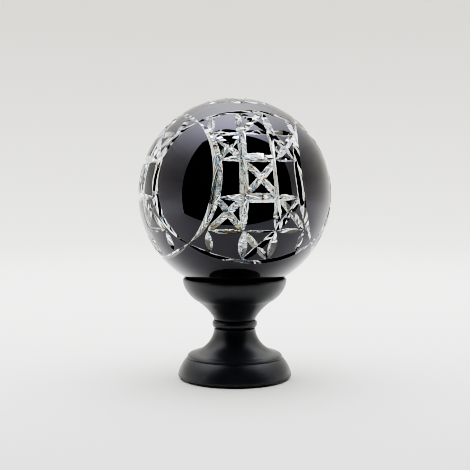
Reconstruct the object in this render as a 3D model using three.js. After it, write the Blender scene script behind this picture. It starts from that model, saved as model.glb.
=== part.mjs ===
// Cut crystal ball on a turned pedestal.
//
// A hollow ball of cased crystal stands on a satin black pedestal. The ball's
// short neck is cemented to a brass ferrule, which screws down on the end of
// a threaded rod. The same rod clamps the pedestal's turned pieces together:
// foot, trumpet stem, collar bead and cup. Every piece is a body of
// revolution about +Z except the two hexagonal nuts. Millimetres; the origin
// is the middle of the underside and +Z points up.

import * as THREE from 'three';

// Crystal ball

const BALL_RADIUS = 50;
const BALL_CENTRE_Z = 95.7;
const WALL = 9;
const NECK_RADIUS = 16.5;
const NECK_BORE = 12.5;
const NECK_BOTTOM_Z = 44.9;

// Pedestal: heights of the joints between its pieces, from the ground up

const GAP = 0.3;
const FOOT_UNDERSIDE_Z = 0.6;
const FOOT_TOP_Z = 10.7;
const STEM_TOP_Z = 26.2;
const BEAD_TOP_Z = 30.5;
const CUP_RIM_Z = 52.4;

// Pedestal: radii

const FOOT_RADIUS = 29.63;
const FOOT_TOP_RADIUS = 24.9;
const FOOT_EDGE_ROUND = 1.4;
const WAIST_RADIUS = 10.8;
const BEAD_RADIUS = 11.75;
const CUP_RADIUS = 27.1;

// Threaded rod (M8), its nuts and its washers

const ROD_RADIUS = 4;
const ROD_HOLE = 4.6;
const THREADED_BORE = ROD_RADIUS + GAP;
const NUT_ACROSS_FLATS = 13;
const NUT_HEIGHT = 4;
const THREAD_ENGAGED = 10;

// Ferrule and the stack below the ball

const FERRULE_BOTTOM_Z = 42.4;
const FERRULE_TOP_Z = 58;
const FERRULE_SPIGOT = 10.4;
const FERRULE_FLANGE = 15.5;
const FLANGE_HEIGHT = 2.2;
const CEMENT_BOTTOM_Z = 45.2;
const CEMENT_HEIGHT = 10.8;
const FIBRE_INNER = 10;
const CUP_FLOOR_Z = 41;

// Spigots that centre one pedestal piece in the next

const CUP_SPIGOT = 7;
const CUP_SPIGOT_BOTTOM_Z = 24.2;
const FOOT_BOSS = 9;
const FOOT_BOSS_TOP_Z = 13.5;

// Recesses that hide the nuts

const CUP_RECESS = 9.2;
const CUP_RECESS_FLOOR_Z = 35;
const FOOT_RECESS = 11.6;
const FOOT_RECESS_ROOF_Z = 7.9;

// Felt pad, let into the underside of the foot

const PAD_RADIUS = 26.8;
const PAD_THICKNESS = 1.4;

// Facets around each turned piece, and along each curve of its outline

const FACETS_LARGE = 48;
const FACETS_SMALL = 24;
const CURVE_STEPS = 6;
const FACET_ANGLE = 360 / FACETS_LARGE;

// Finishes

function finish(color, roughness, metalness) {
  return new THREE.MeshStandardMaterial({ color, roughness, metalness });
}

const casedCrystal = finish(0x0a0a0c, 0.03, 0);
const blackLacquer = finish(0x1b1b1d, 0.42, 0.3);
const brass = finish(0xb08d4a, 0.35, 1);
const zincedSteel = finish(0x9a9da0, 0.4, 1);
const blackRubber = finish(0x121212, 0.6, 0);
const cement = finish(0xd8d4c8, 0.9, 0);
const redFibre = finish(0x8c3a2a, 0.8, 0);
const blackFelt = finish(0x18181a, 1, 0);

// Turned pieces

const part = new THREE.Group();

// Turns an outline of (radius, height) points about +Z. The outline closes on
// itself and runs anticlockwise, with the axis on its left-hand side.
function turned(name, outline, material, facets = FACETS_LARGE) {
  const points = outline.getPoints(CURVE_STEPS);
  if (!points[0].equals(points.at(-1))) {
    points.push(points[0].clone());
  }
  const geometry = new THREE.LatheGeometry(points, facets);
  geometry.rotateX(Math.PI / 2);
  const mesh = new THREE.Mesh(geometry, material);
  mesh.name = name;
  part.add(mesh);
}

// A flat ring with a rectangular section
function ring(name, inner, outer, bottom, height, material, facets = FACETS_SMALL) {
  const outline = new THREE.Path()
    .moveTo(inner, bottom)
    .lineTo(outer, bottom)
    .lineTo(outer, bottom + height)
    .lineTo(inner, bottom + height);
  turned(name, outline, material, facets);
}

// A hexagonal nut with its corners across X
function nut(name, bottom, material) {
  const corner = NUT_ACROSS_FLATS / Math.sqrt(3);
  const hexagon = new THREE.Shape();
  for (let k = 0; k < 6; k += 1) {
    const angle = (k * Math.PI) / 3;
    const x = corner * Math.cos(angle);
    const y = corner * Math.sin(angle);
    if (k === 0) {
      hexagon.moveTo(x, y);
    } else {
      hexagon.lineTo(x, y);
    }
  }
  hexagon.closePath();
  hexagon.holes.push(new THREE.Path().absarc(0, 0, THREADED_BORE, 0, 2 * Math.PI, true));
  const geometry = new THREE.ExtrudeGeometry(hexagon, {
    depth: NUT_HEIGHT,
    bevelEnabled: false,
    curveSegments: FACETS_SMALL,
  });
  geometry.translate(0, 0, bottom);
  const mesh = new THREE.Mesh(geometry, material);
  mesh.name = name;
  part.add(mesh);
}

// Height of the ball's lower surface at a radius from the axis
function underBall(radius) {
  return BALL_CENTRE_Z - Math.sqrt(BALL_RADIUS ** 2 - radius ** 2);
}

// Adds an arc about the ball's centre, seen in section, between two
// directions measured from the horizontal, with a facet about every 7.5
// degrees.
function ballArc(outline, sphere, from, to) {
  const steps = Math.round(Math.abs(to - from) / THREE.MathUtils.degToRad(FACET_ANGLE));
  for (let k = 1; k <= steps; k += 1) {
    const angle = from + ((to - from) * k) / steps;
    const radius = sphere * Math.cos(angle);
    outline.lineTo(Math.max(radius, 0), BALL_CENTRE_Z + sphere * Math.sin(angle));
  }
}

// The ball: sphere outside, sphere inside, and a ground neck below. Each
// quarter is a run of its own, so the widest and the highest points are true
// vertices.
function crystalBall() {
  const inner = BALL_RADIUS - WALL;
  const top = Math.PI / 2;
  const neckAngle = -Math.acos(NECK_RADIUS / BALL_RADIUS);
  const boreAngle = -Math.acos(NECK_BORE / inner);
  const outline = new THREE.Path()
    .moveTo(NECK_BORE, NECK_BOTTOM_Z)
    .lineTo(NECK_RADIUS, NECK_BOTTOM_Z)
    .lineTo(NECK_RADIUS, underBall(NECK_RADIUS));
  ballArc(outline, BALL_RADIUS, neckAngle, 0);
  ballArc(outline, BALL_RADIUS, 0, top);
  outline.lineTo(0, BALL_CENTRE_Z + inner);
  ballArc(outline, inner, top, 0);
  ballArc(outline, inner, 0, boreAngle);
  turned('crystal_ball', outline, casedCrystal);
}

// The brass ferrule: a flanged bush, threaded right through
function neckFerrule() {
  const flangeTop = FERRULE_BOTTOM_Z + FLANGE_HEIGHT;
  const outline = new THREE.Path()
    .moveTo(THREADED_BORE, FERRULE_BOTTOM_Z)
    .lineTo(FERRULE_FLANGE, FERRULE_BOTTOM_Z)
    .lineTo(FERRULE_FLANGE, flangeTop)
    .lineTo(FERRULE_SPIGOT, flangeTop)
    .lineTo(FERRULE_SPIGOT, FERRULE_TOP_Z)
    .lineTo(THREADED_BORE, FERRULE_TOP_Z);
  turned('neck_ferrule', outline, brass, FACETS_SMALL);
}

// The rubber ring that the ball sits down on, with a coned top
const GASKET_INNER = 23.6;
const GASKET_OUTER = 25.3;
const GASKET_BOTTOM_Z = 49.4;
const GASKET_TOP_Z = [51.2, 52.1];

function seatGasket() {
  const outline = new THREE.Path()
    .moveTo(GASKET_INNER, GASKET_BOTTOM_Z)
    .lineTo(GASKET_OUTER, GASKET_BOTTOM_Z)
    .lineTo(GASKET_OUTER, GASKET_TOP_Z[1])
    .lineTo(GASKET_INNER, GASKET_TOP_Z[0]);
  turned('seat_gasket', outline, blackRubber);
}

// The cup: a bowl that sweeps in to a neck, with a spigot below, a recess
// for the nut in its floor and a ledge inside the rim for the rubber ring
function cupBowl() {
  const neckBottom = BEAD_TOP_Z + GAP;
  const ledge = GASKET_BOTTOM_Z - GAP;
  const rimInner = GASKET_OUTER + GAP;
  const outline = new THREE.Path()
    .moveTo(ROD_HOLE, CUP_SPIGOT_BOTTOM_Z)
    .lineTo(CUP_SPIGOT, CUP_SPIGOT_BOTTOM_Z)
    .lineTo(CUP_SPIGOT, neckBottom)
    .lineTo(WAIST_RADIUS, neckBottom)
    .bezierCurveTo(11.3, 33, 16.2, 38.5, 19.7, 40.5)
    .bezierCurveTo(23.2, 42.4, 26.9, 47.2, CUP_RADIUS, 51.2)
    .quadraticCurveTo(CUP_RADIUS, CUP_RIM_Z, 26.3, CUP_RIM_Z)
    .lineTo(rimInner, CUP_RIM_Z - 0.2)
    .lineTo(rimInner, ledge)
    .lineTo(22.6, ledge)
    .bezierCurveTo(21.6, 45.6, 19.6, 43, 17.4, CUP_FLOOR_Z)
    .lineTo(CUP_RECESS, CUP_FLOOR_Z)
    .lineTo(CUP_RECESS, CUP_RECESS_FLOOR_Z)
    .lineTo(ROD_HOLE, CUP_RECESS_FLOOR_Z);
  turned('cup_bowl', outline, blackLacquer);
}

// The collar bead: a half-round ring between cup and stem
function collarBead() {
  const bottom = STEM_TOP_Z + GAP;
  const middle = (bottom + BEAD_TOP_Z) / 2;
  const bulge = 2 * BEAD_RADIUS - WAIST_RADIUS;
  const outline = new THREE.Path()
    .moveTo(CUP_SPIGOT + GAP, bottom)
    .lineTo(WAIST_RADIUS, bottom)
    .quadraticCurveTo(bulge, middle, WAIST_RADIUS, BEAD_TOP_Z)
    .lineTo(CUP_SPIGOT + GAP, BEAD_TOP_Z);
  turned('collar_bead', outline, blackLacquer);
}

// The trumpet stem: flares from the waist to a rounded lip, and is bored for
// the cup's spigot above and the foot's boss below
function trumpetStem() {
  const bottom = FOOT_TOP_Z + GAP;
  const socketFloor = CUP_SPIGOT_BOTTOM_Z - GAP;
  const bossRoof = FOOT_BOSS_TOP_Z + GAP;
  const outline = new THREE.Path()
    .moveTo(FOOT_BOSS + GAP, bottom)
    .lineTo(FOOT_TOP_RADIUS, bottom)
    .bezierCurveTo(FOOT_TOP_RADIUS, 12.4, 23.6, 13.05, 21.6, 13.5)
    .bezierCurveTo(16, 14.8, 11.3, 19.8, WAIST_RADIUS, STEM_TOP_Z)
    .lineTo(CUP_SPIGOT + GAP, STEM_TOP_Z)
    .lineTo(CUP_SPIGOT + GAP, socketFloor)
    .lineTo(ROD_HOLE, socketFloor)
    .lineTo(ROD_HOLE, bossRoof)
    .lineTo(FOOT_BOSS + GAP, bossRoof);
  turned('trumpet_stem', outline, blackLacquer);
}

// The foot: a domed disc with a rounded lower edge, a boss on top, a recess
// for the nut below and a shallow rebate for the felt
function footBase() {
  const edge = FOOT_RADIUS - FOOT_EDGE_ROUND;
  const edgeTop = FOOT_UNDERSIDE_Z + FOOT_EDGE_ROUND;
  const rebate = PAD_THICKNESS + GAP;
  const outline = new THREE.Path()
    .moveTo(PAD_RADIUS + GAP, FOOT_UNDERSIDE_Z)
    .lineTo(edge, FOOT_UNDERSIDE_Z)
    .quadraticCurveTo(FOOT_RADIUS, FOOT_UNDERSIDE_Z, FOOT_RADIUS, edgeTop)
    .bezierCurveTo(29.3, 5, 27, 8.9, FOOT_TOP_RADIUS, FOOT_TOP_Z)
    .lineTo(FOOT_BOSS, FOOT_TOP_Z)
    .lineTo(FOOT_BOSS, FOOT_BOSS_TOP_Z)
    .lineTo(ROD_HOLE, FOOT_BOSS_TOP_Z)
    .lineTo(ROD_HOLE, FOOT_RECESS_ROOF_Z)
    .lineTo(FOOT_RECESS, FOOT_RECESS_ROOF_Z)
    .lineTo(FOOT_RECESS, rebate)
    .lineTo(PAD_RADIUS + GAP, rebate);
  turned('foot_base', outline, blackLacquer);
}

// A solid round bar or disc on the axis
function disc(name, radius, bottom, top, material, facets) {
  const outline = new THREE.Path()
    .moveTo(0, bottom)
    .lineTo(radius, bottom)
    .lineTo(radius, top)
    .lineTo(0, top);
  turned(name, outline, material, facets);
}

crystalBall();
neckFerrule();
seatGasket();
cupBowl();
collarBead();
trumpetStem();
footBase();

// Cement between the ferrule's spigot and the bore of the neck
const cementInner = FERRULE_SPIGOT + GAP;
const cementOuter = NECK_BORE - GAP;
ring('neck_cement', cementInner, cementOuter, CEMENT_BOTTOM_Z, CEMENT_HEIGHT, cement);

// Fibre washer between the ferrule's flange and the floor of the cup
const fibreBottom = CUP_FLOOR_Z + GAP;
const fibreHeight = FERRULE_BOTTOM_Z - CUP_FLOOR_Z - 2 * GAP;
ring('fibre_washer', FIBRE_INNER, FERRULE_FLANGE, fibreBottom, fibreHeight, redFibre);

// Upper nut and washer, in the recess of the cup
const UPPER_WASHER = 8.6;
const WASHER_HEIGHT = 1.5;
const upperWasherZ = CUP_RECESS_FLOOR_Z + GAP;
ring('cup_washer', ROD_HOLE, UPPER_WASHER, upperWasherZ, WASHER_HEIGHT, zincedSteel);
nut('cup_nut', upperWasherZ + WASHER_HEIGHT + GAP, zincedSteel);

// Lower nut and washer, in the recess of the foot
const LOWER_WASHER = 11;
const lowerWasherZ = FOOT_RECESS_ROOF_Z - GAP - WASHER_HEIGHT;
ring('foot_washer', ROD_HOLE, LOWER_WASHER, lowerWasherZ, WASHER_HEIGHT, zincedSteel);
nut('foot_nut', lowerWasherZ - GAP - NUT_HEIGHT, zincedSteel);

// Threaded rod from the foot's nut to the ferrule, and the felt below it
const rodBottom = PAD_THICKNESS + GAP;
const rodTop = FERRULE_BOTTOM_Z + THREAD_ENGAGED;
disc('tie_rod', ROD_RADIUS, rodBottom, rodTop, zincedSteel, FACETS_SMALL);
disc('felt_pad', PAD_RADIUS, 0, PAD_THICKNESS, blackFelt, FACETS_LARGE);

export default part;
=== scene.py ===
"""A cut crystal ball on a turned black pedestal.

The ball is blown in clear crystal, cased in a thin layer of black glass and cut with a V wheel, so
that every groove goes through the black and shows clear crystal. Lengths are in millimetres and
become metres when a mesh is made.
"""

import math

import bmesh
import bpy
import numpy as np
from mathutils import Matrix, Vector


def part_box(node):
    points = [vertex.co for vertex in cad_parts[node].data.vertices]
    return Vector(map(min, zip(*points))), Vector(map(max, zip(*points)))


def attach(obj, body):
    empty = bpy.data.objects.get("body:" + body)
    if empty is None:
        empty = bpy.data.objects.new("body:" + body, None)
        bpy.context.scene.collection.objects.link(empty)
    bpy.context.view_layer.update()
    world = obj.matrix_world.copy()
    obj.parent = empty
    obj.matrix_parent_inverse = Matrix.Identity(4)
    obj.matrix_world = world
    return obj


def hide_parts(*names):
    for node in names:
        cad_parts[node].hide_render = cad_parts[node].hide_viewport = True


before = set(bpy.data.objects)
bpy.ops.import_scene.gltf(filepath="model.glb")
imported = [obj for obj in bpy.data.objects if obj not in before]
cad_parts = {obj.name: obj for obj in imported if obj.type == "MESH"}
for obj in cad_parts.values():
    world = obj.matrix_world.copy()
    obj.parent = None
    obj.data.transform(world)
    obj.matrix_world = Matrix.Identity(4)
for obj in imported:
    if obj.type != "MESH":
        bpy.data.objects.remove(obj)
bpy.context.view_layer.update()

MM = 0.001


# ---------------------------------------------------------------- sizes, from the frame


def reach(node):
    """Lowest height, highest height and outer radius of a turned CAD node, in millimetres."""
    low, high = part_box(node)
    return low.z / MM, high.z / MM, (high.x - low.x) / 2 / MM


neck_end, ball_top, BALL = reach("crystal_ball")
BALL_Z = ball_top - BALL

# The glass: its wall, and the outside and bore of the ground neck that stands in the cup
WALL = 9.0
NECK = 16.5
NECK_BORE = 12.5


# ---------------------------------------------------------------- outlines and turned shapes


def line(*points):
    """The points of a broken line, as an array."""
    return np.array(points, float)


def bezier(p0, p1, p2, p3, steps=28):
    """A cubic curve: the four points weighted by the terms of (1 - t + t) cubed."""
    t = np.linspace(0, 1, steps + 1)[:, None]
    p0, p1, p2, p3 = (np.array(p, float) for p in (p0, p1, p2, p3))
    return (1 - t) ** 3 * p0 + 3 * t * (1 - t) ** 2 * p1 + 3 * t**2 * (1 - t) * p2 + t**3 * p3


def arc(centre, radius, start, end, steps=12):
    """Points at one distance from a centre, from one angle in degrees to another."""
    angle = np.radians(np.linspace(start, end, steps + 1))
    return np.column_stack(
        [centre[0] + radius * np.cos(angle), centre[1] + radius * np.sin(angle)]
    )


def add_object(name, mesh):
    """An object at the origin that shows a mesh."""
    piece = bpy.data.objects.new(name, mesh)
    bpy.context.scene.collection.objects.link(piece)
    return piece


def ring_mesh(name, r, z, closed=True):
    """A mesh from a grid of radii: rows follow an outline, closed or open, and columns go round.

    The point at row i and angle a is (r cos a, r sin a, z), with r from the grid and z from the
    row. Points that lie on the axis are merged.
    """
    rows, around = r.shape
    angle = np.linspace(0, 2 * math.pi, around, endpoint=False)
    grid = np.stack([r * np.cos(angle), r * np.sin(angle), z[:, None] + 0 * r], axis=-1) * MM
    strips = rows if closed else rows - 1
    i, j = np.meshgrid(np.arange(strips), np.arange(around), indexing="ij")
    down, right = (i + 1) % rows, (j + 1) % around
    quads = np.stack(
        [i * around + j, i * around + right, down * around + right, down * around + j], axis=-1
    )
    mesh = bpy.data.meshes.new(name)
    mesh.from_pydata(grid.reshape(-1, 3), [], quads.reshape(-1, 4))
    made = bmesh.new()
    made.from_mesh(mesh)
    bmesh.ops.remove_doubles(made, verts=made.verts, dist=1e-7)
    bmesh.ops.dissolve_degenerate(made, edges=made.edges, dist=1e-8)
    bmesh.ops.recalc_face_normals(made, faces=made.faces)
    made.to_mesh(mesh)
    made.free()
    return mesh


def turned_mesh(name, outline, around=192, closed=True):
    """Turns an outline of (radius, height) about the upright axis."""
    return ring_mesh(name, np.repeat(outline[:, 0:1], around, axis=1), outline[:, 1], closed)


def smoothed(name, mesh, material, crease=32):
    """An object from a mesh, smooth but for edges sharper than the crease angle in degrees."""
    mesh.materials.append(material)
    mesh.shade_smooth()
    mesh.set_sharp_from_angle(angle=math.radians(crease))
    return add_object(name, mesh)


def turned(name, outline, material, around=192):
    """A turned piece in one material."""
    return smoothed(name, turned_mesh(name, outline, around), material)


def chamfered(inner, outer, low, high):
    """The outline of a flat ring with its four edges broken by a small chamfer."""
    cut = 0.15
    return line(
        (inner, low + cut),
        (inner + cut, low),
        (outer - cut, low),
        (outer, low + cut),
        (outer, high - cut),
        (outer - cut, high),
        (inner + cut, high),
        (inner, high - cut),
    )


# ---------------------------------------------------------------- materials


def linear(hex_colour):
    """An sRGB hex colour as linear red, green, blue and alpha."""
    value = np.array([int(hex_colour[k : k + 2], 16) for k in (1, 3, 5)]) / 255
    value = np.where(value <= 0.04045, value / 12.92, ((value + 0.055) / 1.055) ** 2.4)
    return (*value.tolist(), 1.0)


def new_material(name, **settings):
    """A material with one Principled shader, and the settings of its sockets."""
    material = bpy.data.materials.new(name)
    material.use_nodes = True
    shader = material.node_tree.nodes["Principled BSDF"]
    for socket, value in settings.items():
        shader.inputs[socket.replace("_", " ")].default_value = value
    return material, material.node_tree, shader


def add_node(tree, kind, links=(), feeds=None, **settings):
    """Adds a node with its settings and links.

    Settings are the node's properties, or its sockets' values. Links are pairs of a socket of the
    node and the output that drives it. Feeds is a pair of an output of the node and the socket
    that it drives.
    """
    node = tree.nodes.new(kind)
    for name, value in settings.items():
        if hasattr(node, name):
            setattr(node, name, value)
        else:
            node.inputs[name.replace("_", " ")].default_value = value
    for socket, output in links:
        tree.links.new(output, node.inputs[socket])
    if feeds:
        tree.links.new(node.outputs[feeds[0]], feeds[1])
    return node


def pattern(tree, kind, output, **settings):
    """The output of a texture that reads Object coordinates; its scale is in repeats to a metre."""
    place = add_node(tree, "ShaderNodeTexCoord")
    return add_node(tree, kind, [("Vector", place.outputs["Object"])], **settings).outputs[output]


def mottle(tree, shader, factor, first, second, roughness=None):
    """Lets a pattern move the colour between two hex values, and the roughness between two numbers.

    The roughness takes its whole range over the middle half of the pattern's.
    """
    add_node(
        tree,
        "ShaderNodeMix",
        [("Factor", factor)],
        ("Result", shader.inputs["Base Color"]),
        data_type="RGBA",
        A=linear(first),
        B=linear(second),
    )
    if roughness:
        add_node(
            tree,
            "ShaderNodeMapRange",
            [("Value", factor)],
            ("Result", shader.inputs["Roughness"]),
            From_Min=0.25,
            From_Max=0.75,
            To_Min=roughness[0],
            To_Max=roughness[1],
        )


def blend_shaders(material, factor, first, second):
    """Makes the material's surface the first shader, going over to the second with the factor."""
    tree = material.node_tree
    surface = tree.nodes["Material Output"].inputs["Surface"]
    both = add_node(tree, "ShaderNodeMixShader", [("Fac", factor)], ("Shader", surface))
    tree.links.new(first.outputs["BSDF"], both.inputs[1])
    tree.links.new(second.outputs["BSDF"], both.inputs[2])


def black_casing_glass():
    """Black overlay glass, fire-polished: a mirror-like black skin with the faintest waviness.

    Its inner face, which shows only through the clear crystal, sends light back like a bright
    metal leaf. That keeps the cuts lively from every side.
    """
    material, tree, shader = new_material(
        "black_casing_glass", Roughness=0.02, IOR=1.55, Specular_Tint=linear("#f3efff")
    )
    wave = pattern(tree, "ShaderNodeTexNoise", "Fac", Scale=90, Detail=1)
    mottle(tree, shader, wave, "#050507", "#0c0c0f")
    normal = ("Normal", shader.inputs["Normal"])
    add_node(tree, "ShaderNodeBump", [("Height", wave)], normal, Strength=0.03, Distance=0.0002)
    leaf = add_node(
        tree, "ShaderNodeBsdfPrincipled", Base_Color=linear("#eceef4"), Metallic=1, Roughness=0.02
    )
    side = add_node(tree, "ShaderNodeNewGeometry")
    blend_shaders(material, side.outputs["Backfacing"], shader, leaf)
    return material


def cut_lead_crystal():
    """Clear lead crystal, wheel cut and polished: heavy bright glass, with a painted play of colour.

    Heavy glass splits white light. That coloured fire is painted into the clear facets' colour, as faint
    amber and blue flecks about 2 mm apart. A small metallic share stands for the polish of the cuts,
    which mirror the light.
    """
    material, tree, shader = new_material(
        "cut_lead_crystal", Roughness=0.0, IOR=1.56, Transmission_Weight=1.0, Metallic=0.06
    )
    # Painted dispersion: amber and blue flecks of split light, painted into the glass's colour
    painted_dispersion = pattern(tree, "ShaderNodeTexNoise", "Fac", Scale=500, Detail=2)
    colour = ("Color", shader.inputs["Base Color"])
    stops = add_node(tree, "ShaderNodeValToRGB", [("Fac", painted_dispersion)], colour).color_ramp.elements
    stops[0].position, stops[0].color = 0.34, linear("#a6caf2")
    stops[1].position, stops[1].color = 0.66, linear("#fde0aa")
    for position in (0.44, 0.56):
        stops.new(position).color = linear("#fbfdfb")
    return material


def satin_black_lacquer():
    """Black lacquer sprayed on turned metal and rubbed to a satin sheen, with fine orange peel."""
    material, tree, shader = new_material("satin_black_lacquer", IOR=1.5)
    cloud = pattern(tree, "ShaderNodeTexNoise", "Fac", Scale=60, Detail=3)
    mottle(tree, shader, cloud, "#121419", "#1b1d23", (0.32, 0.4))
    peel = pattern(tree, "ShaderNodeTexNoise", "Fac", Scale=1400, Detail=2)
    normal = ("Normal", shader.inputs["Normal"])
    add_node(tree, "ShaderNodeBump", [("Height", peel)], normal, Strength=0.2, Distance=0.00003)
    return material


def turned_metal(name, first, second, rough):
    """Bright metal from the lathe: fine rings 0.3 mm apart, and a little tarnish in clouds."""
    material, tree, shader = new_material(name, Metallic=1.0)
    cloud = pattern(tree, "ShaderNodeTexNoise", "Fac", Scale=160, Detail=4)
    mottle(tree, shader, cloud, first, second, (rough, rough + 0.16))
    rings = pattern(
        tree,
        "ShaderNodeTexWave",
        "Fac",
        bands_direction="Z",
        Scale=1000,
        Distortion=1.5,
        Detail=2,
    )
    normal = ("Normal", shader.inputs["Normal"])
    add_node(tree, "ShaderNodeBump", [("Height", rings)], normal, Strength=0.25, Distance=0.00002)
    return material


def moulded_rubber():
    """Black nitrile rubber from a blasted mould: a soft dull skin with a grain of 0.4 mm."""
    material, tree, shader = new_material("moulded_nitrile_rubber", IOR=1.52)
    grain = pattern(tree, "ShaderNodeTexNoise", "Fac", Scale=2500, Detail=3)
    mottle(tree, shader, grain, "#0f0f10", "#1b1b1c", (0.5, 0.7))
    normal = ("Normal", shader.inputs["Normal"])
    add_node(tree, "ShaderNodeBump", [("Height", grain)], normal, Strength=0.4, Distance=0.00004)
    return material


def gypsum_cement():
    """Off-white gypsum cement, run in wet and set: chalky, with pits and darker specks."""
    material, tree, shader = new_material("gypsum_cement", Roughness=0.93, IOR=1.52)
    lumps = pattern(tree, "ShaderNodeTexNoise", "Fac", Scale=700, Detail=6)
    mottle(tree, shader, lumps, "#b9b3a4", "#e6e2d6")
    normal = ("Normal", shader.inputs["Normal"])
    add_node(tree, "ShaderNodeBump", [("Height", lumps)], normal, Strength=0.7, Distance=0.00015)
    return material


def vulcanised_fibre():
    """Red vulcanised fibre, stamped from sheet: dense layered paper with a leathery mottle."""
    material, tree, shader = new_material("red_vulcanised_fibre", IOR=1.53)
    leather = pattern(tree, "ShaderNodeTexNoise", "Fac", Scale=420, Detail=5)
    mottle(tree, shader, leather, "#6d2419", "#a04632", (0.6, 0.85))
    normal = ("Normal", shader.inputs["Normal"])
    add_node(tree, "ShaderNodeBump", [("Height", leather)], normal, Strength=0.5, Distance=0.00005)
    return material


def wool_felt():
    """Pressed black wool felt: a soft nap of matted hairs, drawn 0.5 mm apart so that it shows."""
    material, tree, shader = new_material(
        "black_wool_felt", Roughness=1.0, IOR=1.45, Sheen_Weight=0.6, Sheen_Roughness=0.6
    )
    clumps = pattern(tree, "ShaderNodeTexNoise", "Fac", Scale=500, Detail=5)
    mottle(tree, shader, clumps, "#0d0d0f", "#26262a")
    hairs = pattern(tree, "ShaderNodeTexVoronoi", "Distance", Scale=2000, Randomness=1.0)
    normal = ("Normal", shader.inputs["Normal"])
    add_node(tree, "ShaderNodeBump", [("Height", hairs)], normal, Strength=0.8, Distance=0.0002)
    return material


CASING = black_casing_glass()
CRYSTAL = cut_lead_crystal()
LACQUER = satin_black_lacquer()
BRASS = turned_metal("turned_brass", "#8f7b4e", "#b5a276", 0.3)
ZINC = turned_metal("zinc_plated_steel", "#a3a8ae", "#c6c9cc", 0.28)
RUBBER = moulded_rubber()
CEMENT = gypsum_cement()
FIBRE = vulcanised_fibre()
FELT = wool_felt()


# ---------------------------------------------------------------- the cutting pattern

# The pattern has four panels round the ball. Places on a panel are degrees right of and above its
# middle. The middles lie above the ball's equator, because the cup hides the ball's underside.
PANEL_MIDDLES = (14.6, 104.6, 194.6, 284.6)
PANEL_HEIGHT = 8.7

# V wheel: how steeply a groove's two facets fall away from the surface
FACET_TILT = math.radians(38)

# How a cut's depth falls off towards its ends, as a power of the way along it: a leaf cut is dipped
# in and out along its whole length, a bar is dipped near its ends, and a long cut at its very ends
LEAF = 2
BAR = 5
LONG = 10

# How far a cut's path runs on past its ends, as a share of half its length, rising out of the glass
RUN_ON = 1.03


def on_ball(azimuth, height):
    """The unit vector towards a place on the ball; azimuth 0 faces the front, and right is positive."""
    a, h = np.radians(azimuth), np.radians(height)
    return np.stack([np.cos(h) * np.sin(a), -np.cos(h) * np.cos(a), np.sin(h)], axis=-1)


def straight(start, end, steps=24):
    """Directions along the great circle from start to end, run on a little past both.

    With t from -RUN_ON to RUN_ON, the direction turns from the middle by t times half the angle.
    """
    middle = (start + end) / np.linalg.norm(start + end)
    side = end - middle * (end @ middle)
    side /= np.linalg.norm(side)
    half = math.acos(np.clip(start @ end, -1, 1)) / 2
    t = np.linspace(-RUN_ON, RUN_ON, steps + 1)[:, None]
    return np.cos(t * half) * middle + np.sin(t * half) * side


def bowed(start, middle, end, steps=48):
    """Directions along the circle on the ball through three places, run on a little past both ends.

    The circle lies in the plane through the three, about the plane's own pole.
    """
    pole = np.cross(middle - start, end - middle)
    pole /= np.linalg.norm(pole)
    height = pole @ middle
    out = middle - pole * height
    radius = np.linalg.norm(out)
    out /= radius
    along = np.cross(pole, out)
    first = math.atan2(start @ along, start @ out)
    last = math.atan2(end @ along, end @ out)
    t = np.linspace(-RUN_ON, RUN_ON, steps + 1)[:, None]
    angle = (first + last) / 2 + t * (last - first) / 2
    return pole * height + radius * (np.cos(angle) * out + np.sin(angle) * along)


def panel_cuts(azimuth):
    """The cuts of one panel, as (path, width, fall-off). Widths are in millimetres."""

    def at(u, v):
        """The direction of a place on this panel."""
        return on_ball(azimuth + u, PANEL_HEIGHT + v)

    # The lattice has two upright lines, four level lines between the edges, and short legs beyond
    inner = 9.8
    rows = (27.5, 10.4, -9.9, -28.3)
    outer = (30.6, 24.3, 24.3, 30.3)
    top, bottom = (12.0, 44.2), (9.5, -47.0)
    cuts = []
    for row in (1, 2):
        path = straight(at(-outer[row], rows[row]), at(outer[row], rows[row]), 40)
        cuts.append((path, 4.8, LEAF))
    for row, middle_width, side_width in ((0, 3.2, 4.0), (3, 1.4, 2.6)):
        v = rows[row]
        cuts.append((straight(at(-inner, v), at(inner, v)), middle_width, LEAF))
        for side in (-1, 1):
            path = straight(at(outer[row] * side, v), at(inner * side, v))
            cuts.append((path, side_width, LEAF))
    for side in (-1, 1):
        foot_place = at(inner * side, rows[3])
        path = bowed(at(top[0] * side, top[1]), at(inner * side, rows[1]), foot_place)
        cuts.append((path, 4.3, LONG))
        cuts.append((straight(foot_place, at(bottom[0] * side, bottom[1])), 4.5, LEAF))
        cuts.append((straight(at(34.5 * side, 40.3), at(outer[0] * side, rows[0])), 3.8, LEAF))
        cuts.append((straight(at(outer[3] * side, rows[3]), at(30.8 * side, -42)), 3.8, LEAF))

    # Crosses fill every other cell, with a cut from corner to corner each way
    crosses = [
        [(-top[0], top[1]), top, (inner, rows[0]), (-inner, rows[0])],
        [(-inner, rows[1]), (inner, rows[1]), (inner, rows[2]), (-inner, rows[2])],
        [(-inner, rows[3]), (inner, rows[3]), bottom, (-bottom[0], bottom[1])],
    ]
    for high, low in ((0, 1), (2, 3)):
        for side in (-1, 1):
            crosses.append(
                [
                    (outer[high] * side, rows[high]),
                    (inner * side, rows[high]),
                    (inner * side, rows[low]),
                    (outer[low] * side, rows[low]),
                ]
            )
    for corners in crosses:
        ends = [at(*corner) for corner in corners]
        for one, other in ((0, 2), (1, 3)):
            cuts.append((straight(ends[one], ends[other]), 3.5, BAR))

    # The panel's own edges: two sides, which the windows beside it share, and two ends
    waist, crown, hem = 23.9, 45.8, -48.6
    for side in (-1, 1):
        path = bowed(at(45 * side, 36.2), at(waist * side, 0), at(45 * side, -36.6))
        cuts.append((path, 4.9, LEAF))
    cuts.append((bowed(at(-45, 36.2), at(0, crown), at(45, 36.2)), 2.6, LONG))
    cuts.append((bowed(at(-45, -36.6), at(0, hem), at(45, -36.6)), 2.4, LONG))
    return cuts


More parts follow.
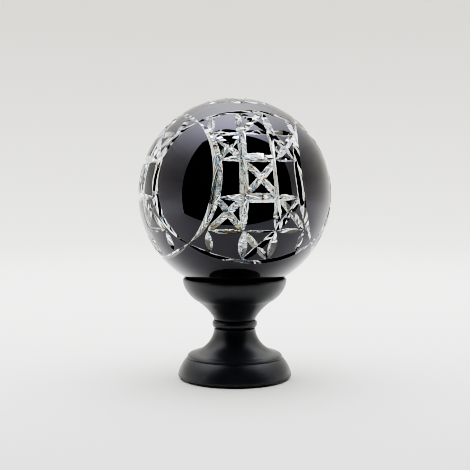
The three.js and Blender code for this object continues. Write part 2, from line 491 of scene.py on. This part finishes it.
def star_cuts():
    """The star on top of the ball: a ring of short cuts, and a long one from each point to the third."""
    count, height, width = 8, 65.5, 3.2
    turn = 360 / count
    points = [on_ball(PANEL_MIDDLES[0] + turn * (k + 0.5), height) for k in range(count)]
    cuts = []
    for k in range(count):
        for step in (1, 3):
            cuts.append((straight(points[k], points[(k + step) % count]), width, LEAF))
    return cuts


def wedge_mesh(name, cuts):
    """One mesh with the wedge of each cut: what the V wheel takes away.

    Along a cut, t runs from -1 to 1 and the apex lies depth times (1 - t to the cut's power) below
    the surface. The two flanks rise from it at the facets' tilt to a height clear of the ball.
    """
    clear = 0.9
    points, faces = [], []
    count = 0
    for path, width, power in cuts:
        n = len(path)
        t = np.linspace(-RUN_ON, RUN_ON, n)[:, None]
        depth = width / 2 * math.tan(FACET_TILT) * (1 - abs(t) ** power)
        tangent = np.gradient(path, axis=0)
        side = np.cross(tangent, path)
        side /= np.linalg.norm(side, axis=1)[:, None]
        spread = (depth + clear) / math.tan(FACET_TILT)
        apex = path * (BALL - depth)
        left = path * (BALL + clear) - side * spread
        right = path * (BALL + clear) + side * spread
        points.append(np.concatenate([apex, left, right]))
        k = np.arange(n - 1)
        a, b, c = count + k, count + n + k, count + 2 * n + k
        faces.extend(np.column_stack([a, a + 1, b + 1, b]).tolist())
        faces.extend(np.column_stack([b, b + 1, c + 1, c]).tolist())
        faces.extend(np.column_stack([c, c + 1, a + 1, a]).tolist())
        faces.append([count, count + n, count + 2 * n])
        faces.append([count + n - 1, count + 3 * n - 1, count + 2 * n - 1])
        count += 3 * n
    placed = (np.concatenate(points) + [0, 0, BALL_Z]) * MM
    mesh = bpy.data.meshes.new(name)
    mesh.from_pydata(placed, [], faces)
    made = bmesh.new()
    made.from_mesh(mesh)
    bmesh.ops.recalc_face_normals(made, faces=made.faces)
    made.to_mesh(mesh)
    made.free()
    return mesh


def apart(cuts):
    """Sorts the cuts into passes in which no two come near each other, so that no wedges overlap."""
    nearest = math.cos(math.radians(7))
    passes = []
    for cut in cuts:
        path = cut[0]
        for done in passes:
            if all((path @ other[0].T).max() < nearest for other in done):
                done.append(cut)
                break
        else:
            passes.append([cut])
    return passes


def ball_outline():
    """Half a section of the hollow ball with its ground neck, closed on itself."""
    inner = BALL - WALL
    neck = -math.degrees(math.acos(NECK / BALL))
    bore = -math.degrees(math.acos(NECK_BORE / inner))
    outside = arc((0, BALL_Z), BALL, neck, 90, 96)
    inside = arc((0, BALL_Z), inner, 90, bore, 48)
    outside[-1, 0] = 0
    inside[0, 0] = 0
    return np.concatenate([line((NECK_BORE, neck_end), (NECK, neck_end)), outside, inside])


def cut_ball():
    """The ball: the blank less every wedge, black outside and clear wherever it is cut."""
    blank = add_object("crystal_blank", turned_mesh("crystal_blank", ball_outline(), 224))
    cuts = star_cuts()
    for azimuth in PANEL_MIDDLES:
        cuts.extend(panel_cuts(azimuth))
    wheels = []
    for k, group in enumerate(apart(cuts)):
        wheel = add_object(f"wheel_pass_{k}", wedge_mesh(f"wheel_pass_{k}", group))
        cutter = blank.modifiers.new(f"pass_{k}", "BOOLEAN")
        cutter.operation = "DIFFERENCE"
        cutter.solver = "MANIFOLD"
        cutter.object = wheel
        wheels.append(wheel)

    # The ball takes its shape from the modifiers, and then the blank and the wedges go
    bpy.context.view_layer.update()
    finished = blank.evaluated_get(bpy.context.evaluated_depsgraph_get())
    mesh = bpy.data.meshes.new_from_object(finished)
    mesh.name = "cut_ball"
    for gone in (*wheels, blank):
        bpy.data.objects.remove(gone)
    finish_ball(mesh)
    return add_object("cut_ball", mesh)


def vectors(values, name, count):
    """One vector for each item of a mesh's list, as rows."""
    rows = np.empty(count * 3)
    values.foreach_get(name, rows)
    return rows.reshape(-1, 3)


def corner_values(mesh, place, skin):
    """For every face corner: whether its face is skin, and the direction straight out of the ball."""
    vertex = np.empty(len(mesh.loops), np.int32)
    corners = np.empty(len(mesh.polygons), np.int32)
    mesh.loops.foreach_get("vertex_index", vertex)
    mesh.polygons.foreach_get("loop_total", corners)
    out = place[vertex] - [0, 0, BALL_Z * MM]
    return np.repeat(skin, corners), out / np.linalg.norm(out, axis=1)[:, None]


def finish_ball(mesh):
    """Gives the uncut skin the black casing and exact round normals, and the rest clear crystal.

    A face is skin if it lies on the sphere and looks straight out, or is the outside of the neck:
    its middle is as far from the axis as the neck is, and it looks sideways.
    """
    mesh.materials.clear()
    mesh.materials.append(CASING)
    mesh.materials.append(CRYSTAL)
    mesh.shade_smooth()
    mesh.set_sharp_from_angle(angle=math.radians(20))
    middle = vectors(mesh.polygons, "center", len(mesh.polygons)) / MM
    normal = vectors(mesh.polygons, "normal", len(mesh.polygons))
    out = middle - [0, 0, BALL_Z]
    distance = np.linalg.norm(out, axis=1)
    sphere = (distance > BALL - 0.3) & ((out * normal).sum(1) / distance > 0.97)
    from_axis = np.hypot(middle[:, 0], middle[:, 1])
    neck = (abs(from_axis - NECK) < 0.2) & (abs(normal[:, 2]) < 0.3) & (middle[:, 2] < BALL_Z - 45)
    mesh.polygons.foreach_set("material_index", np.where(sphere | neck, 0, 1).astype(np.int32))
    place = vectors(mesh.vertices, "co", len(mesh.vertices))
    on_skin, straight_out = corner_values(mesh, place, sphere)
    corner = vectors(mesh.corner_normals, "vector", len(mesh.loops))
    corner[on_skin] = straight_out[on_skin]
    mesh.normals_split_custom_set(corner.tolist())


# ---------------------------------------------------------------- the pedestal

# The four turned parts stack on each other. Spigots and the rod's hole are hidden inside. Parts that
# touch stand a seam apart, or a gap inside, and the edges of a seam are barely broken.
WAIST = 10.8
SPIGOT = 7.0
ROD_HOLE = 4.6
GAP = 0.3
SEAM = 0.1
EDGE = 0.15


def cup_outline():
    """The cup: a spigot, a neck that flares to a bowl, a rolled rim and a stepped socket inside."""
    low, rim_z, radius = reach("cup_bowl")
    neck_z = reach("collar_bead")[1] + SEAM
    return np.concatenate(
        [
            line((ROD_HOLE, low), (SPIGOT, low), (SPIGOT, neck_z), (WAIST - EDGE, neck_z)),
            bezier((WAIST, neck_z + EDGE), (11.3, 33), (16.2, 38.5), (19.7, 40.5)),
            bezier((19.7, 40.5), (23.2, 42.4), (26.9, 47.2), (radius, 51.2))[1:],
            bezier((radius, 51.2), (radius, 52.0), (26.8, rim_z), (26.3, rim_z), 10)[1:],
            bezier((26.3, rim_z), (25.9, rim_z), (25.6, rim_z - 0.1), (25.6, rim_z - 0.5), 6)[1:],
            line((25.6, 49.1), (22.6, 49.1)),
            bezier((22.6, 49.1), (21.6, 45.6), (19.6, 43), (17.4, 41), 16)[1:],
            line((9.2, 41), (9.2, 35), (ROD_HOLE, 35)),
        ]
    )


def bead_outline():
    """The collar bead: a ring with a round outside."""
    low, top, _ = reach("collar_bead")
    return np.concatenate(
        [
            line((SPIGOT + GAP, low), (WAIST - 0.2, low)),
            bezier((WAIST, low + 0.1), (12.1, 27.2), (12.1, 29.8), (WAIST, top - 0.1), 20),
            line((WAIST - 0.2, top), (SPIGOT + GAP, top)),
        ]
    )


def stem_outline():
    """The trumpet stem: it sweeps in from a rounded lip to the waist, and is hollow at both ends."""
    low, top, radius = reach("trumpet_stem")
    return np.concatenate(
        [
            line((9.3, low), (radius - EDGE, low)),
            bezier((radius, low + EDGE), (radius, 12.4), (23.6, 13.05), (21.6, 13.5)),
            bezier((21.6, 13.5), (16, 14.8), (11.3, 19.8), (WAIST, top - 0.2))[1:],
            line((WAIST - 0.2, top), (SPIGOT + GAP, top), (SPIGOT + GAP, 23.9)),
            line((ROD_HOLE, 23.9), (ROD_HOLE, 13.8), (9.3, 13.8)),
        ]
    )


def foot_outline():
    """The foot: a domed ring with a rounded lower edge, a boss on top and a recess below."""
    low, boss_top, radius = reach("foot_base")
    top = reach("trumpet_stem")[0] - SEAM
    return np.concatenate(
        [
            line((27.1, low), (radius - 1.4, low)),
            arc((radius - 1.4, low + 1.4), 1.4, -90, 0)[1:],
            bezier((radius, low + 1.4), (29.3, 5), (27, 8.9), (24.9, top))[1:],
            line((9, top), (9, boss_top), (ROD_HOLE, boss_top), (ROD_HOLE, 7.9)),
            line((11.6, 7.9), (11.6, 1.7), (27.1, 1.7)),
        ]
    )


# ---------------------------------------------------------------- fittings inside and below

# The thread, M8 in size: its radius, the rows of points that follow each turn, and the radius that
# a threaded bore opens to at its ends
ROD = 4.0
PITCH = 1.25
THREAD_DEPTH = 0.6
THREAD_STEPS = 8
THREAD_MOUTH = 5.0


def thread_height(z, around):
    """How high a helical thread stands, from 0 at its root to 1 at its crest, on a grid.

    The phase is z over the pitch less the share of a turn. The height is a triangle wave of the
    phase, with its top and bottom cut flat.
    """
    turn = np.arange(around) / around
    phase = (z[:, None] / PITCH - turn) % 1
    return np.clip(1.5 * (1 - abs(2 * phase - 1)) - 0.25, 0, 1)


def threaded_rod():
    """The tie rod: an outside thread along its whole length, and a chamfer at each end."""
    low, high, radius = reach("tie_rod")
    around, chamfer = 40, 1
    z = np.linspace(low, high, int((high - low) / PITCH * THREAD_STEPS))
    r = radius - THREAD_DEPTH * (1 - thread_height(z, around))
    from_end = np.minimum(z - low, high - z)[:, None]
    r = np.minimum(r, radius - chamfer + from_end)
    ends = np.zeros((1, around))
    r = np.concatenate([ends, r, ends])
    z = np.concatenate([[low], z, [high]])
    return smoothed("tie_rod_threaded", ring_mesh("tie_rod_threaded", r, z), ZINC, 50)


def threaded_bore(low, high, around):
    """Radii and heights down an inside thread that clears the rod, from the top to the bottom."""
    z = np.linspace(high, low, int((high - low) / PITCH * THREAD_STEPS))
    from_end = np.minimum(z - low, high - z)[:, None]
    r = ROD + GAP + THREAD_DEPTH * (1 - thread_height(z, around))
    return np.maximum(r, THREAD_MOUTH - from_end), z


def hexagon_nut(node):
    """A nut: six flats with their corners turned off by a cone at each end, and a threaded bore.

    The flats' radius at an angle is half the width over the cosine of the angle from the middle
    of its flat. The cone lets the radius grow by twice the distance from the nearer end.
    """
    low, high, corner = reach(node)
    around = 96
    flat = corner * math.cos(math.pi / 6)
    angle = np.linspace(0, 360, around, endpoint=False)
    hexagon = flat / np.cos(np.radians(angle % 60 - 30))
    z = np.linspace(low, high, 17)
    cone = flat - 0.3 + 2 * np.minimum(z - low, high - z)[:, None]
    outside = np.minimum(hexagon, cone)
    bore, bore_z = threaded_bore(low, high, around)
    name = f"{node}_cut"
    mesh = ring_mesh(name, np.concatenate([outside, bore]), np.concatenate([z, bore_z]))
    return smoothed(name, mesh, ZINC, 28)


def ferrule():
    """The brass ferrule: a chamfered flange, a ribbed spigot that the cement grips, and a thread.

    The ribs are a cosine of the height, 1.6 mm apart.
    """
    low, high, flange = reach("neck_ferrule")
    spigot, flange_top, around = 10.4, 44.6, 96
    ribs_z = np.linspace(flange_top + 0.6, high - 0.8, 90)
    ribs = spigot - 0.2 - 0.2 * np.cos((ribs_z - ribs_z[0]) / 1.6 * 2 * math.pi)
    outside = np.concatenate(
        [
            line((THREAD_MOUTH, low), (flange - 0.4, low), (flange, low + 0.4)),
            line((flange, flange_top - 0.4), (flange - 0.4, flange_top), (spigot - 0.4, flange_top)),
            np.column_stack([ribs, ribs_z]),
            line((spigot, high - 0.6), (spigot - 0.6, high)),
        ]
    )
    bore, bore_z = threaded_bore(low, high, around)
    r = np.concatenate([np.repeat(outside[:, 0:1], around, axis=1), bore])
    z = np.concatenate([outside[:, 1], bore_z])
    return smoothed("neck_ferrule_turned", ring_mesh("neck_ferrule_turned", r, z), BRASS)


def seat_gasket():
    """The rubber ring under the ball: its coned top follows the ball, and its edges are round."""
    low, high, outer = reach("seat_gasket")
    inner, inner_top, round_off = 23.6, 51.2, 0.35
    outline = np.concatenate(
        [
            arc((inner + round_off, low + round_off), round_off, 180, 270, 6),
            arc((outer - round_off, low + round_off), round_off, -90, 0, 6),
            arc((outer - round_off, high - 0.55), round_off, 0, 118, 8),
            arc((inner + round_off, inner_top - 0.3), round_off, 118, 180, 6),
        ]
    )
    return turned("seat_gasket_moulded", outline, RUBBER)


def cement_fill():
    """The cement between ferrule and neck, its top dished where it set."""
    low, high, outer = reach("neck_cement")
    inner = 10.7
    dish = arc(((inner + outer) / 2, high + 0.35), 0.83, -25, -155, 8)
    outline = np.concatenate([line((inner, low), (outer, low)), dish])
    return turned("neck_cement_fill", outline, CEMENT, 96)


def felt_pad():
    """The felt disc under the foot, with a soft rounded edge."""
    low, high, radius = reach("felt_pad")
    soft = 0.5
    outline = np.concatenate(
        [
            line((0, low)),
            arc((radius - soft, low + soft), soft, -90, 0, 6),
            arc((radius - soft, high - soft), soft, 0, 90, 6),
            line((0, high)),
        ]
    )
    return turned("felt_pad_cut", outline, FELT)


def flat_ring(node, name, inner, material):
    """A flat washer with its edges broken."""
    low, high, outer = reach(node)
    return turned(name, chamfered(inner, outer, low, high), material, 96)


def place(piece, node, body, slot):
    """Puts a finished piece in a CAD node's stead, on its body. The slot, which names its finish, is not
    used.
    """
    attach(piece, body)
    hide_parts(node)


place(cut_ball(), "crystal_ball", "ball", "cased_crystal")
place(ferrule(), "neck_ferrule", "ball", "brass")
place(cement_fill(), "neck_cement", "ball", "cement")
place(seat_gasket(), "seat_gasket", "seat_ring", "black_rubber")
outlines = {
    "cup_bowl": cup_outline(),
    "collar_bead": bead_outline(),
    "trumpet_stem": stem_outline(),
    "foot_base": foot_outline(),
}
for node, outline in outlines.items():
    place(turned(f"{node}_lacquered", outline, LACQUER), node, "stand", "black_lacquer")
place(threaded_rod(), "tie_rod", "stand", "zinced_steel")
for node in ("cup_nut", "foot_nut"):
    place(hexagon_nut(node), node, "stand", "zinced_steel")
for node in ("cup_washer", "foot_washer"):
    washer = flat_ring(node, f"{node}_plated", ROD_HOLE, ZINC)
    place(washer, node, "stand", "zinced_steel")
fibre = flat_ring("fibre_washer", "fibre_washer_stamped", 10, FIBRE)
place(fibre, "fibre_washer", "stand", "red_fibre")
place(felt_pad(), "felt_pad", "stand", "black_felt")


# ---------------------------------------------------------------- floor, light and camera


def sweep_mesh():
    """A round studio sweep, as an open turned surface: flat floor, quarter-round cove, upright wall."""
    floor_radius, cove, wall_top = 1100, 500, 1600
    flat = np.column_stack([np.linspace(0, floor_radius, 12)[:-1], np.zeros(11)])
    curve = arc((floor_radius, cove), cove, -90, 0, 16)
    wall = line((floor_radius + cove, wall_top))
    outline = np.concatenate([flat, curve, wall])
    return turned_mesh("sweep", outline, 96, closed=False)


def seamless_paper():
    """Matt seamless paper: pale underfoot, greyer with distance, and thinning to nothing up the wall.

    The greying with distance is painted shade, for light that falls off towards the wall. The thinning
    keeps the paper's top edge from showing as a line in the black glass.
    """
    near, far = 0.5, 1.65
    full, gone = 0.6, 1.6
    material, tree, shader = new_material("seamless_paper", Roughness=0.85)
    place_of = add_node(tree, "ShaderNodeTexCoord").outputs["Object"]
    away = add_node(tree, "ShaderNodeVectorMath", [("Vector", place_of)], operation="LENGTH")
    painted_shade_with_distance = add_node(
        tree, "ShaderNodeMapRange", [("Value", away.outputs["Value"])], From_Min=near, From_Max=far
    )
    # Painted shade: the paper greys with distance from the middle, for light falling off towards the
    # wall
    mottle(tree, shader, painted_shade_with_distance.outputs["Result"], "#e6e5dc", "#cecdc4")
    split = add_node(tree, "ShaderNodeSeparateXYZ", [("Vector", place_of)])
    thinned = add_node(
        tree, "ShaderNodeMapRange", [("Value", split.outputs["Z"])], From_Min=full, From_Max=gone
    )
    clear = add_node(tree, "ShaderNodeBsdfTransparent")
    blend_shaders(material, thinned.outputs["Result"], shader, clear)
    return material


def light_tent():
    """The light tent: walls of one brightness, and a roof that grows brighter and cooler overhead.

    With z the sine of the height above the horizon, the light is wall + roof times z to the power 5.
    """
    wall, roof, power = 1.2, 4.0, 5
    world = bpy.data.worlds.new("light_tent")
    world.use_nodes = True
    bpy.context.scene.world = world
    tree = world.node_tree
    background = tree.nodes["Background"]
    way = add_node(tree, "ShaderNodeTexCoord")
    split = add_node(tree, "ShaderNodeSeparateXYZ", [("Vector", way.outputs["Generated"])])
    high = add_node(tree, "ShaderNodeMath", [(0, split.outputs["Z"])], operation="MAXIMUM")
    high.inputs[1].default_value = 0
    steep = add_node(tree, "ShaderNodeMath", [(0, high.outputs[0])], operation="POWER")
    steep.inputs[1].default_value = power
    strength = (0, background.inputs["Strength"])
    light = add_node(
        tree, "ShaderNodeMath", [(0, steep.outputs[0])], strength, operation="MULTIPLY_ADD"
    )
    light.inputs[1].default_value = roof
    light.inputs[2].default_value = wall
    add_node(
        tree,
        "ShaderNodeMix",
        [("Factor", steep.outputs[0])],
        ("Result", background.inputs["Color"]),
        data_type="RGBA",
        A=(1.0, 0.99, 0.99, 1),
        B=(0.93, 0.95, 1.12, 1),
    )


def tent_mouth():
    """The dark opening in the front of the tent, seen only as a reflection in the polished skin.

    The camera looks through it, it throws no shadow, and light from inside the crystal passes it.
    """
    left, right, front, top = -0.265, 0.35, -0.165, 0.54
    mesh = bpy.data.meshes.new("tent_mouth")
    corners = [(left, front, 0), (right, front, 0), (right, front, top), (left, front, top)]
    mesh.from_pydata(corners, [], [(0, 1, 2, 3)])
    dark, _, _ = new_material(
        "dark_room", Base_Color=linear("#000000"), Roughness=1.0, Specular_IOR_Level=0
    )
    mesh.materials.append(dark)
    mouth = add_object("tent_mouth", mesh)
    mouth.visible_camera = False
    mouth.visible_shadow = False
    mouth.visible_transmission = False
    return mouth


def add_camera():
    """The camera, level with the ball's middle and aimed below it so that the foot is in view."""
    distance, height, aim = 0.470, 0.098, Vector((0.00014, 0.0, 0.07475))
    data = bpy.data.cameras.new("camera")
    data.sensor_width = 36
    data.lens = 69.07
    data.clip_start = 0.01
    camera = bpy.data.objects.new("camera", data)
    bpy.context.scene.collection.objects.link(camera)
    camera.location = (0, -distance, height)
    camera.rotation_euler = (aim - camera.location).to_track_quat("-Z", "Y").to_euler()
    bpy.context.scene.camera = camera


def camera_response():
    """How the picture is made from the light: contrast, exposure, sharpness, and depth into glass."""
    scene = bpy.context.scene
    scene.view_settings.view_transform = "AgX"
    scene.view_settings.look = "AgX - High Contrast"
    scene.view_settings.exposure = 0.3
    scene.cycles.filter_width = 0.9
    scene.cycles.max_bounces = 24
    scene.cycles.transmission_bounces = 24


light_tent()
smoothed("sweep", sweep_mesh(), seamless_paper())
tent_mouth()
add_camera()
camera_response()

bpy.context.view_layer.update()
